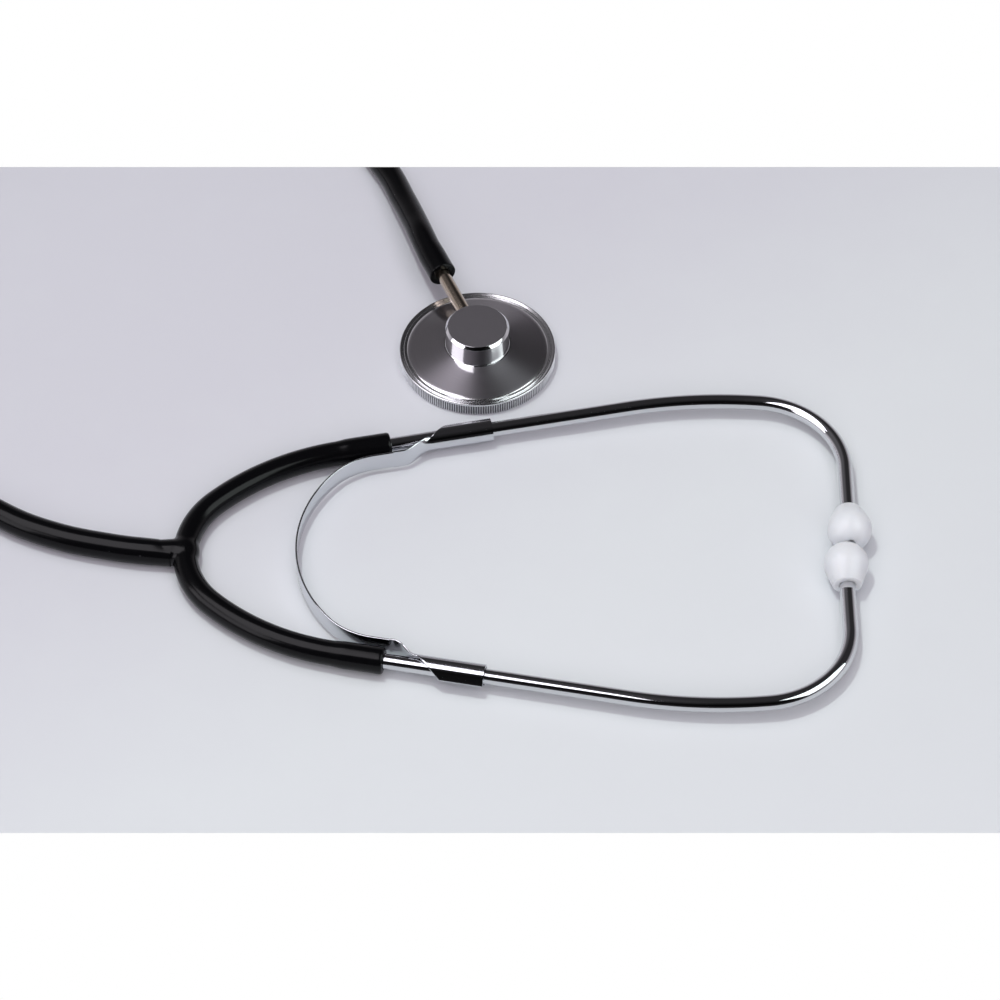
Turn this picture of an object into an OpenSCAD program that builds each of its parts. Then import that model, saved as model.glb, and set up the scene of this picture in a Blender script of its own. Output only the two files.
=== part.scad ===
// Toy stethoscope lying on a table: a flat chestpiece on a vinyl hose, a Y end,
// two sprung ear tubes with white ear tips.  Millimetres, +X towards the ear tips,
// +Y away from the viewer, +Z up, table at z = 0.

/* [Chestpiece] */
// diameter over the rim of the chestpiece
head_d = 47; // [45:0.5:49]
// height of the knurled retaining ring
ring_h = 3.8; // [3.4:0.1:4.2]
// number of ribs on the retaining ring
rib_count = 200; // [120:10:220]
// depth of one rib
rib_depth = 0.35; // [0.2:0.05:0.5]
// clearance between the ring's bore and the collar it screws on
ring_gap = 0.1; // [0.05:0.01:0.2]
// thickness of the diaphragm
diaphragm_t = 0.4; // [0.3:0.05:0.6]
// diameter of the hub
hub_d = 19.2; // [17.6:0.2:21]
// height of the hub's top above the table
hub_top = 14.2; // [13.8:0.1:15]
// diameter of the stem
stem_d = 4.1; // [3.7:0.1:4.4]
// bore of the stem
stem_bore = 2.4; // [1.8:0.1:2.8]
// direction of the stem, counted from +X
stem_turn = 112.5; // [106:0.5:118]

/* [Tubing] */
// outside diameter of the hose
hose_d = 7.9; // [7.3:0.1:8.3]
// outside diameter of the two arms of the Y
arm_d = 7.3; // [6.8:0.1:7.6]
// outside diameter of the arms where they are stretched over the ear tubes
socket_d = 7.9; // [7.6:0.1:8.2]
// bore of the Y and its arms
arm_bore = 3.8; // [3.2:0.1:4]
// radius of the rounded root of the Y
fork_r = 27; // [26:0.5:28]

/* [Ear tubes] */
// outside diameter of the ear tubes
tube_d = 4.5; // [4.2:0.1:4.7]
// wall of the ear tubes
tube_wall = 0.6; // [0.4:0.05:0.8]
// angle of the straight run of each ear tube to the middle line
splay = 11.45; // [11:0.05:12]
// radius of the long bow
bow_r = 135.3; // [130:0.5:140]
// turn of the long bow
bow_turn = 16.9; // [16:0.1:18]
// radius of the bend at the ear end
bend_r = 26.7; // [25:0.1:28]
// clearance of the ear tube in its sleeve and in the arm
tube_gap = 0.05; // [0.03:0.01:0.1]

/* [Ear tips] */
// largest diameter of an ear tip
tip_d = 13; // [12.6:0.1:13.4]
// length of an ear tip
tip_l = 13.8; // [13.4:0.1:14.4]
// diameter of the foot of an ear tip
tip_foot_d = 8.8; // [8.2:0.1:9.4]
// angle at which the end of an ear tube rises with its tip
tip_rise = 9; // [7:0.5:11]
// sound hole through an ear tip
tip_hole = 2.4; // [1.8:0.1:3]
// gap left between the two ear tips
tip_gap = 0.3; // [0.3:0.1:1]

/* [Spring] */
// width of the spring strip
strip_w = 6.2; // [5.6:0.1:6.6]
// thickness of the spring strip
strip_t = 0.6; // [0.5:0.05:0.8]
// radius of the open bow of the spring
strip_r = 43; // [42:0.5:44]
// distance of the strip from the axis of the ear tube
strip_off = 5.7; // [5.5:0.1:6]
// outside diameter of the rolled sleeves
sleeve_d = 6.8; // [6.4:0.1:7.2]
// length of the rolled sleeves
sleeve_l = 19; // [17:0.5:20]

/* [Hidden] */
$fn = 48;

// end of the far arm of the Y, and the directions along and across the ear tube there
arm_x = -33;
arm_y = 41.42;
arm_end = [arm_x, arm_y];
along = [cos(splay), sin(splay)];
outward = [-sin(splay), cos(splay)];

// Y: rounded root, one arc per arm, straight sockets
fork_x = -91.2;
fork_turn = 45;
trunk_x = -99;
arm_a = [fork_x + fork_r * (1 - cos(fork_turn)), fork_r * sin(fork_turn)];
arm_fall = -((arm_a - arm_end) * outward);
arm_r = arm_fall / (1 - cos(90 - fork_turn - splay));
arm_c = arm_a + arm_r * [cos(fork_turn), -sin(fork_turn)];
arm_b = arm_c + arm_r * outward;
socket_in = (arm_b - arm_end) * along;

// ear tube: starts just inside its socket; straight run, long bow, bend, rising end
tube_stop = 0.75;
tube_in = socket_in + tube_stop;
far_run = 72.2;
near_run = 70.5;
low = splay - bow_turn;
rise_r = 14;
tube_hold = 9;

// ear tips: they meet a little to the near side of the middle line
meet_y = -0.5;
ball_out = tip_gap / 2 + tip_d / 2;
foot_out = ball_out + (tip_l - tip_d / 2) * cos(tip_rise);
foot_z = rise_r * (1 - cos(tip_rise));
tip_dir = [0, -cos(tip_rise), sin(tip_rise)];

// spring strip: open bow, two tighter arcs, two straight ends
strip_x = -59;
strip_turn = 40;
strip_line = arm_end - strip_off * outward;
strip_a = [strip_x + strip_r * (1 - cos(strip_turn)), strip_r * sin(strip_turn)];
strip_fall = -((strip_a - strip_line) * outward);
strip_r2 = strip_fall / (1 - cos(90 - strip_turn - splay));
strip_c2 = strip_a + strip_r2 * [cos(strip_turn), -sin(strip_turn)];
strip_b = strip_c2 + strip_r2 * outward;
strip_b_s = (strip_b - strip_line) * along;
split_s = 3.6;
sleeve_out = 30;
sleeve_in = sleeve_out - sleeve_l;

// chestpiece: its place, its levels
head_x = -6.6;
head_y = 81;
rim_z = ring_h + 0.8;
hub_z = rim_z + 2.3;
lip = 0.6;
collar_z = lip + diaphragm_t;
collar_r = head_d / 2 - 2.4;
stem_z = (hub_z + hub_top) / 2 - 0.1;
stem_in = hub_d / 2 - 4.6;
air_r = stem_bore / 2 + 0.5;
hose_start = 27.5;
stem_out = 38.5;

// the binaural leans a little, so that its tips and the hose both lie on the table
z0 = hose_d / 2;
reach = bend_c(far_run)[0] + bend_r - trunk_x;
ball_z = foot_z + (tip_l - tip_d / 2) * sin(tip_rise);
lean = asin((tip_d / 2 + 0.1 - z0 - ball_z) / reach);

// shift that puts the origin under the middle of everything but the hose
low_x = trunk_x - hose_d / 2 * sin(lean);
far_x = trunk_x + reach * cos(lean) - ball_z * sin(lean) + tip_d / 2;
near_y = -bow_c(near_run)[1] - bow_r - tube_d / 2;
far_y = head_y + stem_out * sin(stem_turn) + stem_d / 2 * abs(cos(stem_turn));
mid_x = (low_x + far_x) / 2;
mid_y = (far_y + near_y) / 2;

// route of the hose from the Y round its loop to the stem
stem_dir = [cos(stem_turn), sin(stem_turn), 0];
stem_side = [sin(stem_turn), -cos(stem_turn), 0];
stem_at = [head_x, head_y, stem_z];
hose_route = [
    [trunk_x, 0, z0], [-112, 2, z0], [-129, 6.5, z0], [-146, 15, z0],
    [-173, 36, z0], [-192, 66, z0], [-199, 100, z0], [-194, 135, z0],
    [-176, 166, z0], [-148, 187, z0], [-114, 196, z0], [-82, 195, z0],
    [-62, 189.5, z0], [-47, 178, z0],
    stem_at + 82 * stem_dir + 3 * stem_side - [0, 0, 5.7],
    stem_at + 66 * stem_dir + 2.4 * stem_side - [0, 0, 4],
    stem_at + 54 * stem_dir + 1.4 * stem_side - [0, 0, 2],
    stem_at + 46 * stem_dir + 0.5 * stem_side - [0, 0, 0.5],
    stem_at + 39 * stem_dir,
    stem_at + hose_start * stem_dir
];
hose_sides = 12;
tube_sides = 16;
hose_steps = 3;
hose_bore = stem_d / 2 + 0.1;

// middles of the long bow and of the bend, for a straight run of a given length
function bow_c(run) = arm_end + run * along - bow_r * outward;
function bend_c(run) = bow_c(run) + (bow_r - bend_r) * [-sin(low), cos(low)];

// middle of the foot of an ear tip, for tips that meet at a given place
function foot(run, meet) = [bend_c(run)[0] + bend_r, meet + foot_out, foot_z];

// puts a piece drawn round the middle line of the binaural where it lies
module lay() {
    translate([trunk_x - mid_x, -mid_y, z0]) rotate([0, -lean, 0]) translate([-trunk_x, 0, 0]) children();
}

// puts a piece drawn round the axis of the chestpiece where it lies
module at_head() {
    translate([head_x - mid_x, head_y - mid_y, 0]) children();
}

// round bar along the straight run of an ear tube, from s0 to s1
module run(s0, s1, d0, d1) {
    translate([arm_end[0], arm_end[1], 0]) rotate([0, 0, splay]) translate([s0, 0, 0])
        rotate([0, 90, 0]) cylinder(d1 = d0, d2 = d1, h = s1 - s0);
}

// a line is a list of [place, direction]; these give straight and round stretches of it
function unit(v) = v / norm(v);
function station(p, h) = [[p[0], p[1], 0], [cos(h), sin(h), 0]];
function straight(s) = station(arm_end + s * along, splay);
function round_bit(c, r, a0, a1, n) =
    [for (k = [1:n]) let (a = a0 + (a1 - a0) * k / n) station(c + r * [cos(a), sin(a)], a - 90)];
function mirrored(e) = [[e[0][0], -e[0][1], e[0][2]], [-e[1][0], e[1][1], -e[1][2]]];
function ring(e, r, n) = let (t = e[1], s = unit(cross([0, 0, 1], t)), u = cross(t, s))
    [for (k = [0:n - 1]) e[0] + r * (cos(360 * (k + 0.5) / n) * s + sin(360 * (k + 0.5) / n) * u)];

// tube of n sides along a line, with an outside and an inside diameter at every station
module pipe(line, d, bore, n) {
    m = len(line);
    q = n * m;
    e = q - n;
    pts = concat([for (i = [0:m - 1]) each ring(line[i], d[i] / 2, n)],
        [for (i = [0:m - 1]) each ring(line[i], bore[i] / 2, n)]);
    outer = [for (i = [0:m - 2], k = [0:n - 1])
        [i * n + k, i * n + n + k, i * n + n + (k + 1) % n, i * n + (k + 1) % n]];
    inner = [for (i = [0:m - 2], k = [0:n - 1])
        [q + i * n + (k + 1) % n, q + i * n + n + (k + 1) % n, q + i * n + n + k, q + i * n + k]];
    near_end = [for (k = [0:n - 1]) [k, (k + 1) % n, q + (k + 1) % n, q + k]];
    far_end = [for (k = [0:n - 1]) [e + (k + 1) % n, e + k, q + e + k, q + e + (k + 1) % n]];
    polyhedron(pts, concat(outer, inner, near_end, far_end), convexity = 10);
}

// bent tube: straight run, long bow, bend, rising end inside the tip
function rising(run, meet, a) = [foot(run, meet) + rise_r * [0, sin(tip_rise) - sin(a), cos(tip_rise) - cos(a)],
    [0, -cos(a), sin(a)]];
function tube_line(run, meet) = concat(
    [straight(tube_in), straight(run)],
    round_bit(bow_c(run), bow_r, 90 + splay, 90 + low, 5),
    round_bit(bend_c(run), bend_r, 90 + low, 0, 14),
    [for (k = [0:4]) rising(run, meet, tip_rise * k / 4)],
    [[foot(run, meet) + tube_hold * tip_dir, tip_dir]]);

module ear_tube(run, meet) {
    line = tube_line(run, meet);
    pipe(line, [for (e = line) tube_d], [for (e = line) tube_d - 2 * tube_wall], tube_sides);
}

module left_ear_tube() {
    color("Silver") lay() ear_tube(far_run, meet_y);
}

module right_ear_tube() {
    color("Silver") lay() mirror([0, 1, 0]) ear_tube(near_run, -meet_y);
}

module ear_tip(run, meet) {
    ball = tip_d / 2;
    translate(foot(run, meet)) rotate([90 - tip_rise, 0, 0]) rotate_extrude() difference() {
        intersection() {
            union() {
                translate([0, tip_l - ball]) circle(ball);
                polygon([[0, 0], [tip_foot_d / 2, 0], [ball * 0.96, tip_l - ball - 1.6], [0, tip_l - ball - 1.6]]);
            }
            square([tip_d, tip_l + 1]);
        }
        translate([-1, -1]) square([1 + tube_d / 2 + tube_gap, tube_hold + 1.2]);
        translate([-1, -1]) square([1 + tip_hole / 2, tip_l + 2]);
    }
}

module left_ear_tip() {
    color("White") lay() ear_tip(far_run, meet_y);
}

module right_ear_tip() {
    color("White") lay() mirror([0, 1, 0]) ear_tip(near_run, -meet_y);
}

// rolled end of the spring: sleeve with a slanted mouth, tongue that meets the strip
module sleeve() {
    t = strip_t / 2;
    y = -strip_off;
    w = -(sleeve_d / 2 - strip_t / 2);
    m = sleeve_in;
    difference() {
        union() {
            difference() {
                run(sleeve_in, sleeve_out, sleeve_d, sleeve_d);
                translate([arm_end[0], arm_end[1], 0]) rotate([0, 0, splay])
                    translate([m + 0.6, -sleeve_d / 2, 0]) rotate([0, 0, -36])
                    translate([-20, 0, -10]) cube([20, 30, 20]);
            }
            translate([arm_end[0], arm_end[1], 0]) rotate([0, 0, splay])
                linear_extrude(strip_w, center = true)
                polygon([[split_s, y - t], [split_s + 1, y - t], [m + 0.4, w - t], [m + 2, w - t],
                    [m + 2, w + t], [m + 0.4, w + t], [split_s + 1, y + t], [split_s, y + t]]);
        }
        run(sleeve_in - 5, sleeve_out + 1, tube_d + 2 * tube_gap, tube_d + 2 * tube_gap);
    }
}

module left_sleeve() {
    color("LightGray") lay() sleeve();
}

module right_sleeve() {
    color("LightGray") lay() mirror([0, 1, 0]) sleeve();
}

// flat sector of a ring, as thick as the strip
module bow(c, r, a0, turn) {
    far = 2 * r;
    translate(c) intersection() {
        difference() {
            circle(r + strip_t / 2);
            circle(r - strip_t / 2);
        }
        polygon([[0, 0], far * [cos(a0), sin(a0)], far * [cos(a0 + turn), sin(a0 + turn)]]);
    }
}

module strip_end() {
    bow(strip_c2, strip_r2, 90 + splay, 90 - strip_turn - splay);
    translate(strip_line) rotate(splay) translate([strip_b_s, -strip_t / 2])
        square([split_s - strip_b_s, strip_t]);
}

module spring_strip() {
    color("LightGray") lay() linear_extrude(strip_w, center = true) {
        bow([strip_x + strip_r, 0], strip_r, 180 - strip_turn, 2 * strip_turn);
        strip_end();
        mirror([0, 1]) strip_end();
    }
}

// one half of the Y from the middle of its root to the end of the arm
half_root = round_bit([fork_x + fork_r, 0], fork_r, 180, 180 - fork_turn, 7);
half_arm = round_bit(arm_c, arm_r, 180 - fork_turn, 90 + splay, 6);
half_end = [straight(socket_in + 0.5), straight(socket_in + 2), straight(0)];
half_line = concat(half_root, half_arm, half_end);
half_n = len(half_line);
fit_d = (tube_d + 2 * tube_gap) / cos(180 / tube_sides);
half_d = [for (i = [0:half_n - 1]) i < half_n - 3 ? arm_d : i == half_n - 3 ? arm_d + 0.1 : socket_d];
half_bore = [for (i = [0:half_n - 1]) i < half_n - 3 ? arm_bore : fit_d];
function back(v) = [for (i = [len(v) - 1:-1:0]) v[i]];
y_line = concat([for (e = back(half_line)) mirrored(e)], [station([fork_x, 0], 90)], half_line);

module y_tubing() {
    color("DimGray") lay() difference() {
        union() {
            pipe(y_line, concat(back(half_d), [arm_d], half_d), concat(back(half_bore), [arm_bore], half_bore),
                tube_sides);
            translate([trunk_x, 0, 0]) rotate([0, 90, 0]) cylinder(d = hose_d, h = 3.5);
            translate([trunk_x + 3.5, 0, 0]) rotate([0, 90, 0]) cylinder(d1 = hose_d, d2 = arm_d - 1, h = 4.3);
        }
        translate([trunk_x - 1, 0, 0]) rotate([0, 90, 0]) cylinder(d = arm_bore - 0.4, h = fork_x - trunk_x + 1);
        translate([fork_x, 4.5, 0]) rotate([90, 0, 0]) cylinder(d = arm_bore - 0.5, h = 9);
    }
}

// smooth line through the points of the route
function spline(a, b, c, d, t) =
    0.5 * (2 * b + (c - a) * t + (2 * a - 5 * b + 4 * c - d) * t * t + (3 * b - a - 3 * c + d) * t * t * t);
hose_n = len(hose_route);
hose_first = 2 * hose_route[0] - hose_route[1];
hose_last = 2 * hose_route[hose_n - 1] - hose_route[hose_n - 2];
hose_all = concat([hose_first], hose_route, [hose_last]);
hose_line = concat(
    [for (i = [1:hose_n - 1], k = [0:hose_steps - 1])
        spline(hose_all[i - 1], hose_all[i], hose_all[i + 1], hose_all[i + 2], k / hose_steps)],
    [hose_route[hose_n - 1]]);
hose_rings = len(hose_line);
function heading(i) = i == 0 ? -[cos(lean), 0, sin(lean)]
    : i == hose_rings - 1 ? -stem_dir
    : unit(hose_line[i + 1] - hose_line[i - 1]);

module main_tube() {
    line = [for (i = [0:hose_rings - 1]) [hose_line[i], heading(i)]];
    bore = 2 * hose_bore / cos(180 / hose_sides);
    color("DimGray") translate([-mid_x, -mid_y, 0])
        pipe(line, [for (e = line) hose_d], [for (e = line) bore], hose_sides);
}

module chestpiece_body() {
    r = head_d / 2;
    color("Gray") at_head() difference() {
        rotate_extrude() polygon([
            [air_r, collar_z + 2.2], [collar_r - 3, collar_z + 0.9], [collar_r - 2, collar_z], [collar_r, collar_z],
            [collar_r, ring_h], [r - 0.3, ring_h], [r, ring_h + 0.3], [r, rim_z - 0.3], [r - 0.3, rim_z],
            [r - 1, rim_z], [r - 1.2, rim_z - 0.2], [r - 1.5, rim_z], [r - 2.2, rim_z + 0.1],
            [hub_d / 2, hub_z], [hub_d / 2, hub_top - 0.8], [hub_d / 2 - 0.9, hub_top],
            [0, hub_top], [0, stem_z + air_r], [air_r, stem_z + air_r]]);
        translate([0, 0, stem_z]) rotate([0, 0, stem_turn]) rotate([0, 90, 0]) cylinder(d = stem_bore, h = hub_d);
        translate([0, 0, stem_z]) rotate([0, 0, stem_turn]) translate([stem_in, 0, 0])
            rotate([0, 90, 0]) cylinder(d = stem_d, h = hub_d);
    }
}

module stem() {
    color("Tan") at_head() translate([0, 0, stem_z]) rotate([0, 0, stem_turn]) translate([stem_in, 0, 0])
        rotate([0, 90, 0]) difference() {
            cylinder(d = stem_d, h = stem_out - stem_in);
            translate([0, 0, -1]) cylinder(d = stem_bore, h = stem_out - stem_in + 2);
        }
}

module diaphragm() {
    color("WhiteSmoke") at_head() translate([0, 0, lip]) cylinder(r = collar_r, h = diaphragm_t);
}

module retaining_ring() {
    r = head_d / 2;
    color("LightGray") at_head() difference() {
        linear_extrude(ring_h) polygon([for (k = [0:2 * rib_count - 1])
            let (q = r - (k % 2) * rib_depth, a = 180 * k / rib_count) [q * cos(a), q * sin(a)]]);
        translate([0, 0, lip]) cylinder(r = collar_r + ring_gap, h = ring_h);
        translate([0, 0, -1]) cylinder(r1 = collar_r - 0.7, r2 = collar_r - 1.3, h = 2);
    }
}

main_tube();
y_tubing();
spring_strip();
left_sleeve();
right_sleeve();
left_ear_tube();
right_ear_tube();
left_ear_tip();
right_ear_tip();
chestpiece_body();
stem();
diaphragm();
retaining_ring();
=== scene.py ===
import math

import bpy
import numpy as np
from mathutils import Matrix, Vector


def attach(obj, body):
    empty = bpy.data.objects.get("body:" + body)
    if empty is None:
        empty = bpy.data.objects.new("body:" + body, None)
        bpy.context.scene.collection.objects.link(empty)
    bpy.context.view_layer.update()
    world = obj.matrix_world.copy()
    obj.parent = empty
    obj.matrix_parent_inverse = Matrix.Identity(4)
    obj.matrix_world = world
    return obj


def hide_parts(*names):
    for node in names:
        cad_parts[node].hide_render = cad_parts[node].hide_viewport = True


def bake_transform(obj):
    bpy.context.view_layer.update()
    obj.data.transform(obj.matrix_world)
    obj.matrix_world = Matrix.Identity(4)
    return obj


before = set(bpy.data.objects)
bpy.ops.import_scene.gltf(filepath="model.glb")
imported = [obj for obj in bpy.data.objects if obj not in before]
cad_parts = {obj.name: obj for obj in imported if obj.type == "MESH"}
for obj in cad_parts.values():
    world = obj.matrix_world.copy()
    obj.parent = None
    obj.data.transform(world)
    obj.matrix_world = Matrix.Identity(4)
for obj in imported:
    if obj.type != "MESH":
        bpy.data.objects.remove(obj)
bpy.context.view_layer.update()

# The stethoscope is drawn in millimetres round the middle line of its two ear tubes:
# X along that line towards the ear tips, Y to the far side, Z up.  lay() and stand()
# then put a piece where it lies in the frame, in metres.
MM = 0.001

# chestpiece
HEAD = np.array([-6.6, 81.0])
HEAD_R = 23.5
RING_H = 3.8
RIB_COUNT = 200
RIB_DEPTH = 0.35
RIM_Z = RING_H + 0.8
HUB_Z = RIM_Z + 2.3
HUB_R = 9.6
HUB_TOP = 14.2
COLLAR_R = HEAD_R - 2.4
RING_LIP = 0.6
DIAPHRAGM_T = 0.4
STEM_R = 2.05
STEM_BORE_R = 1.2
STEM_TURN = math.radians(112.5)
STEM_Z = (HUB_Z + HUB_TOP) / 2 - 0.1
STEM_IN = HUB_R - 4.6
STEM_OUT = 38.5

# hose and Y
HOSE_R = 3.95
HOSE_BORE_R = STEM_R + 0.1
HOSE_START = 27.5
ARM_R = 3.65
SOCKET_R = 3.95
FORK_R = 27.0
FORK_X = -91.2
FORK_TURN = math.radians(45)
TRUNK_X = -99.0

# ear tubes and ear tips
TUBE_R = 2.25
TUBE_WALL = 0.6
SPLAY = math.radians(11.45)
FAR_RUN = 72.2
NEAR_RUN = 70.5
BOW_R = 135.3
BOW_TURN = math.radians(16.9)
BEND_R = 26.7
TUBE_HOLD = 9.0
TIP_R = 6.5
TIP_L = 13.8
TIP_FOOT_R = 4.4
TIP_HOLE_R = 1.2
TIP_GAP = 0.3
TIP_RISE = math.radians(9)
RISE_R = 14.0
MEET_Y = -0.5
FIT = 0.05

# spring strip and the sleeves rolled from its ends
STRIP_W = 6.2
STRIP_T = 0.6
STRIP_R = 43.0
STRIP_OFF = 5.7
STRIP_X = -59.0
STRIP_TURN = math.radians(40)
STRIP_END = 0.5
SLEEVE_R = 3.4
SLEEVE_OUT = 30.0


def turned(angle, length=1.0):
    """Vector of that length in the plan, at that angle from +X."""
    return length * np.array([math.cos(angle), math.sin(angle)])


# ear tube: straight run from the end of the far arm, long bow, bend, rising end
ARM_END = np.array([-33.0, 41.42])
ALONG = turned(SPLAY)
OUTWARD = turned(SPLAY + math.pi / 2)
LOW = SPLAY - BOW_TURN
BALL_OUT = TIP_GAP / 2 + TIP_R
FOOT_OUT = BALL_OUT + (TIP_L - TIP_R) * math.cos(TIP_RISE)
FOOT_Z = RISE_R * (1 - math.cos(TIP_RISE))


def bow_centre(run):
    """Middle of the long bow of an ear tube with a straight run of that length."""
    return ARM_END + run * ALONG - BOW_R * OUTWARD


def bend_centre(run):
    """Middle of its bend."""
    return bow_centre(run) + (BOW_R - BEND_R) * turned(LOW + math.pi / 2)


# Y: an arc round its root, one arc for each arm, straight sockets
ARM_A = np.array([FORK_X + FORK_R * (1 - math.cos(FORK_TURN)), FORK_R * math.sin(FORK_TURN)])
ARM_BEND = (ARM_END - ARM_A) @ OUTWARD / (1 - math.sin(FORK_TURN + SPLAY))
ARM_C = ARM_A + ARM_BEND * turned(-FORK_TURN)
SOCKET_IN = (ARM_C + ARM_BEND * OUTWARD - ARM_END) @ ALONG

# strip: open bow, a second arc, a straight end beside the ear tube
STRIP_LINE = ARM_END - STRIP_OFF * OUTWARD
STRIP_A = np.array([STRIP_X + STRIP_R * (1 - math.cos(STRIP_TURN)), STRIP_R * math.sin(STRIP_TURN)])
STRIP_R2 = (STRIP_LINE - STRIP_A) @ OUTWARD / (1 - math.sin(STRIP_TURN + SPLAY))
STRIP_C2 = STRIP_A + STRIP_R2 * turned(-STRIP_TURN)

# the ear tubes lean a little, so that the tips and the hose both lie on the table
REACH = bend_centre(FAR_RUN)[0] + BEND_R - TRUNK_X
BALL_Z = FOOT_Z + (TIP_L - TIP_R) * math.sin(TIP_RISE)
LEAN = math.asin((TIP_R + 0.1 - HOSE_R - BALL_Z) / REACH)
LOW_X = TRUNK_X - HOSE_R * math.sin(LEAN)
FAR_X = TRUNK_X + REACH * math.cos(LEAN) - BALL_Z * math.sin(LEAN) + TIP_R
NEAR_Y = -bow_centre(NEAR_RUN)[1] - BOW_R - TUBE_R
FAR_Y = HEAD[1] + STEM_OUT * math.sin(STEM_TURN) + STEM_R * abs(math.cos(STEM_TURN))
MIDDLE = np.array([(LOW_X + FAR_X) / 2, (FAR_Y + NEAR_Y) / 2, 0.0])


def stand(p):
    """Points in millimetres, already upright, as they stand in the frame."""
    return (np.asarray(p, float) - MIDDLE) * MM


def lay(p):
    """Points drawn round the middle line of the ear tubes, leaned and raised to where they lie."""
    p = np.asarray(p, float)
    c, s = math.cos(LEAN), math.sin(LEAN)
    out, up = p[..., 0] - TRUNK_X, p[..., 2]
    return stand(np.stack([TRUNK_X + out * c - up * s, p[..., 1], HOSE_R + out * s + up * c], -1))


# Camera: a long lens on the near side, matched to the rim of the chestpiece and to the
# mirror symmetry of the ear tubes.
PICTURE = 1000
FOCAL_PX = 4600.0
SENSOR = 36.0
CAMERA_AT = stand([-2.11, -876.44, 1010.3])
CAMERA_DOWN = math.radians(48.3)
CAMERA_TURN = math.radians(-0.138)

camera = bpy.data.objects.new("camera", bpy.data.cameras.new("camera"))
bpy.context.collection.objects.link(camera)
camera.location = CAMERA_AT
camera.rotation_euler = (math.pi / 2 - CAMERA_DOWN, 0, CAMERA_TURN)
camera.data.sensor_width = SENSOR
camera.data.lens = FOCAL_PX * SENSOR / PICTURE
camera.data.clip_start = 0.01
bpy.context.scene.camera = camera
bpy.context.scene.view_settings.view_transform = "Standard"


def unit(v):
    """Each vector at length one."""
    return v / np.linalg.norm(v, axis=-1, keepdims=True)


def curve(points, steps):
    """Catmull-Rom curve: a cubic through each pair of points, steps pieces long, whose slope at a
    point is half the way from the point before it to the point after it."""
    p = np.vstack([2 * points[0] - points[1], points, 2 * points[-1] - points[-2]])
    t = (np.arange(steps) / steps)[None, :, None]
    a, b, c, d = (p[i:len(p) - 3 + i, None, :] for i in range(4))
    q = 0.5 * (2 * b + (c - a) * t + (2 * a - 5 * b + 4 * c - d) * t**2 + (3 * b - a - 3 * c + d) * t**3)
    return np.vstack([q.reshape(-1, 3), points[-1:]])


def arc(centre, radius, start, end, n):
    """n + 1 points on an arc in the plan, from one angle to another."""
    a = np.linspace(start, end, n + 1)
    return np.stack([centre[0] + radius * np.cos(a), centre[1] + radius * np.sin(a), 0 * a], -1)


def level(p, z=0.0):
    """A point of the plan at a height."""
    return np.array([[p[0], p[1], z]])


class Line:
    """A path measured along its length."""

    def __init__(self, points):
        step = np.linalg.norm(np.diff(points, axis=0), axis=1)
        self.points = points[np.r_[True, step > 1e-6]]
        self.at = np.r_[0, np.cumsum(np.linalg.norm(np.diff(self.points, axis=0), axis=1))]
        self.length = self.at[-1]
        self.heading = unit(np.gradient(self.points, self.at, axis=0))

    def frame(self, s):
        """Place, heading, side and top of the path at each distance s; past an end it runs straight on."""
        place, head = (np.stack([np.interp(s, self.at, v[:, k]) for k in range(3)], -1)
                       for v in (self.points, self.heading))
        head = unit(head)
        place = place + (s - np.clip(s, 0, self.length))[:, None] * head
        side = unit(np.cross([0, 0, 1.0], head))
        return place, head, side, np.cross(head, side)


def carried(line, s, across, up):
    """Profile carried along a path: at distance s its points lie so far across the path and so far
    above it.  The arrays across and up have one row for each s."""
    place, _, side, top = line.frame(s)
    return place[:, None] + across[..., None] * side[:, None] + up[..., None] * top[:, None]


def tube(line, s, r, sides):
    """Closed wall of a tube: (s, r) goes once round the section of the wall, out along the outside and
    back along the bore, and each such point is a circle of radius r square to the path at s."""
    a = np.arange(sides) * 2 * math.pi / sides
    return carried(line, np.asarray(s, float), np.outer(r, np.cos(a)), np.outer(r, np.sin(a)))


def spun(rz, n, ripple=None):
    """Surface of revolution about Z: each point (r, z) of a section becomes a circle of n points.
    ripple(angle, r), if given, is added to the radius."""
    a = np.arange(n) * 2 * math.pi / n
    r, z = np.asarray(rz, float).T
    r = np.repeat(r[:, None], n, 1)
    z = np.repeat(z[:, None], n, 1)
    if ripple:
        r = r + ripple(a[None, :], r)
    return np.stack([r * np.cos(a), r * np.sin(a), z], -1)


def filleted(corners, n=5):
    """Outline with rounded corners: each corner is (x, y, radius), and its round is an arc of n pieces
    that touches both its sides."""
    p = np.array([c[:2] for c in corners], float)
    out = []
    for k, (x, y, radius) in enumerate(corners):
        if radius == 0 or k in (0, len(corners) - 1):
            out.append(p[k][None])
            continue
        u, v = unit(p[k - 1] - p[k]), unit(p[k + 1] - p[k])
        half = math.acos(np.clip(u @ v, -1, 1)) / 2
        centre = p[k] + unit(u + v) * radius / math.sin(half)
        start = p[k] + u * radius / math.tan(half) - centre
        end = p[k] + v * radius / math.tan(half) - centre
        sweep = math.pi - 2 * half
        t = np.linspace(0, 1, n + 1)[:, None]
        out.append(centre + (np.sin((1 - t) * sweep) * start + np.sin(t * sweep) * end) / math.sin(sweep))
    return np.vstack(out)


def grid_faces(rows, cols, loop=False):
    """Four-sided faces of a grid of points whose rows are closed; loop joins the last row to the first."""
    i = np.arange(rows if loop else rows - 1)[:, None]
    j = np.arange(cols)[None, :]
    i2, j2 = (i + 1) % rows, (j + 1) % cols
    corners = (i * cols + j, i2 * cols + j, i2 * cols + j2, i * cols + j2)
    return np.stack(np.broadcast_arrays(*corners), -1).reshape(-1, 4)


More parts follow.
